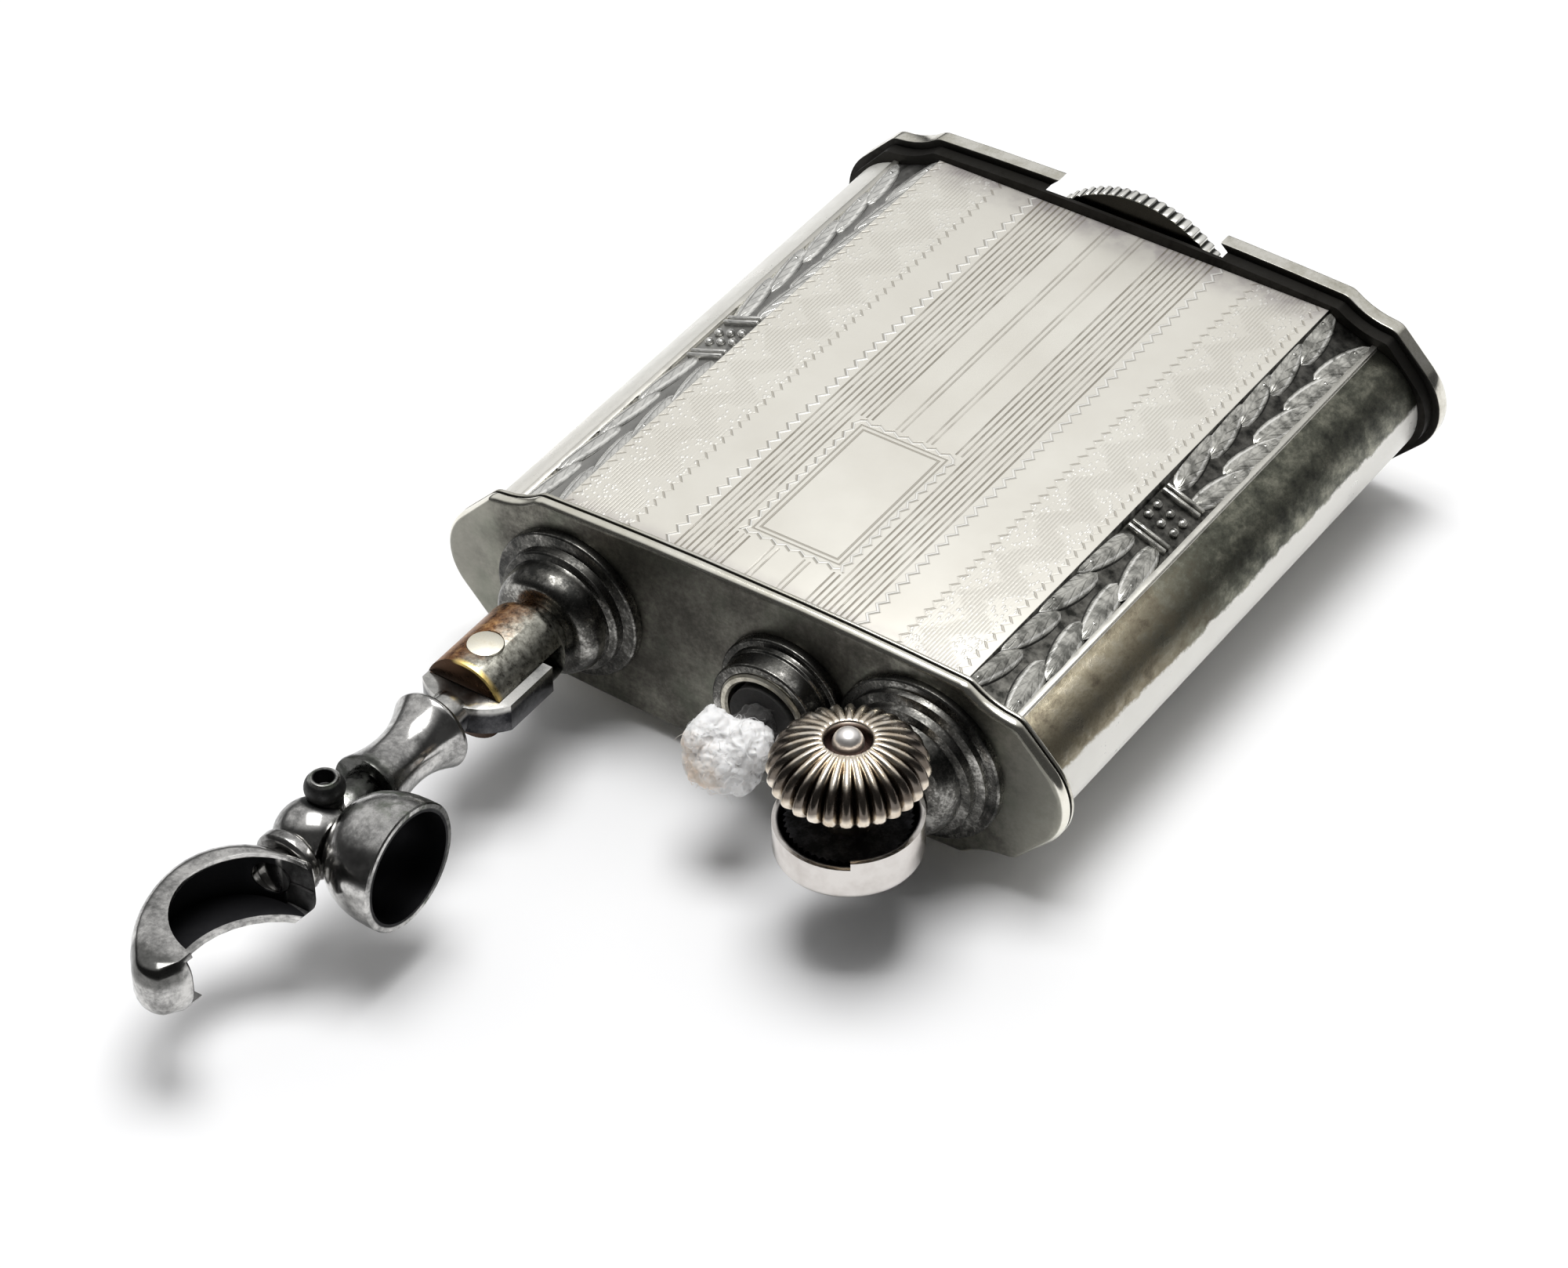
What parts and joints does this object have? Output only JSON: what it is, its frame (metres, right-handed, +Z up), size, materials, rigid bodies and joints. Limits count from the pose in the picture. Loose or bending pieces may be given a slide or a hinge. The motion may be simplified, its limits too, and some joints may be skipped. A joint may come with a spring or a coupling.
{
  "type": "lift-arm lighter",
  "caption": "Small petrol lighter lying open: engine-turned flat metal case, hinged snuffer arm with thumb hook, wick, striker with fluted thumb knob, coin-edged filler screw",
  "frame": {"origin": "middle of the object's box at the height of the surface it lies on, arm swung open", "axes": "+Y from the deck to the filler end along the case, +X across the case towards the striker, +Z up from the back panel to the front panel"},
  "size_m": [0.0398, 0.077, 0.0142],
  "materials": {
    "case_silver": "satin, engine turned",
    "deck_patina": "mottled patina",
    "flange_nickel": "polished, tarnished",
    "bright_nickel": "polished",
    "dark_nickel": "polished, tarnished",
    "worn_brass": "worn plating",
    "knob_gilt": "worn plating",
    "inner_brass": "plain",
    "rivet_steel": "satin",
    "striker_steel": "hardened, toothed",
    "spring_steel": "drawn wire",
    "flint_alloy": "matte",
    "cotton": "fluffy",
    "gasket_leather": "matte"
  },
  "bodies": {
    "case": {"body_shell": "case_silver", "top_frame": "flange_nickel", "deck_plate": "deck_patina", "bottom_cap": "flange_nickel", "filler_bush": "inner_brass", "cotton_packing": "cotton", "wick": "cotton", "wick_tuft": "cotton", "wick_tube": "inner_brass", "wick_collar": "dark_nickel", "flint_tube": "inner_brass", "flint_base": "dark_nickel", "wheel_housing": "bright_nickel", "arm_base": "dark_nickel", "arm_post": "worn_brass", "arm_nut": "inner_brass", "hinge_pin": "rivet_steel", "arm_spring": "spring_steel"},
    "arm": {"arm_lug": "dark_nickel", "arm_shank": "dark_nickel", "arm_hub": "dark_nickel", "cup_pin": "dark_nickel", "snuffer_cup": "dark_nickel", "arm_collar": "dark_nickel", "thumb_hook": "dark_nickel"},
    "wheel": {"striker_wheel": "striker_steel", "wheel_axle": "bright_nickel", "thumb_knob": "knob_gilt"},
    "filler_slide": {"filler_gasket": "gasket_leather"},
    "filler": {"filler_screw": "bright_nickel"},
    "flint_set": {"flint": "flint_alloy", "flint_plunger": "inner_brass"},
    "screw_slide": {"flint_spring": "spring_steel"},
    "screw": {"flint_screw": "bright_nickel"},
    "plunger": {"arm_plunger": "rivet_steel"}
  },
  "joints": [
    {"name": "arm_hinge", "type": "hinge", "parent": "case", "child": "arm", "pos_m": [-0.0114, -0.00984, 0.0071], "axis": [0, 0, 1], "range_deg": [0, 90], "deforming": ["wick_tuft"]},
    {"name": "wheel_spin", "type": "hinge", "parent": "case", "child": "wheel", "pos_m": [0.01115, -0.00904, 0.0071], "axis": [0, 0, 1], "continuous": true},
    {"name": "filler_travel", "type": "slide", "parent": "case", "child": "filler_slide", "axis": [0, 1, 0], "range_m": [0, 0.002]},
    {"name": "filler_turn", "type": "hinge", "parent": "filler_slide", "child": "filler", "pos_m": [0, 0.03686, 0.0071], "axis": [0, 1, 0], "range_deg": [0, 1440]},
    {"name": "screw_travel", "type": "slide", "parent": "case", "child": "screw_slide", "axis": [0, 1, 0], "range_m": [0, 0.002]},
    {"name": "screw_turn", "type": "hinge", "parent": "screw_slide", "child": "screw", "pos_m": [0.01115, 0.03686, 0.0071], "axis": [0, 1, 0], "range_deg": [0, 1440]},
    {"name": "flint_feed", "type": "slide", "parent": "case", "child": "flint_set", "axis": [0, 1, 0], "range_m": [0, 0.001], "stiffness_N_per_m": 300, "springref_m": -0.002, "deforming": ["flint_spring"]},
    {"name": "plunger_travel", "type": "slide", "parent": "case", "child": "plunger", "axis": [0, 1, 0], "range_m": [0, 0.0008], "stiffness_N_per_m": 300, "springref_m": -0.002, "deforming": ["arm_spring"]}
  ],
  "couplings": [
    {"joint": "filler_turn", "follows": "filler_travel", "rad_per_m": 12566},
    {"joint": "screw_turn", "follows": "screw_travel", "rad_per_m": 12566}
  ]
}
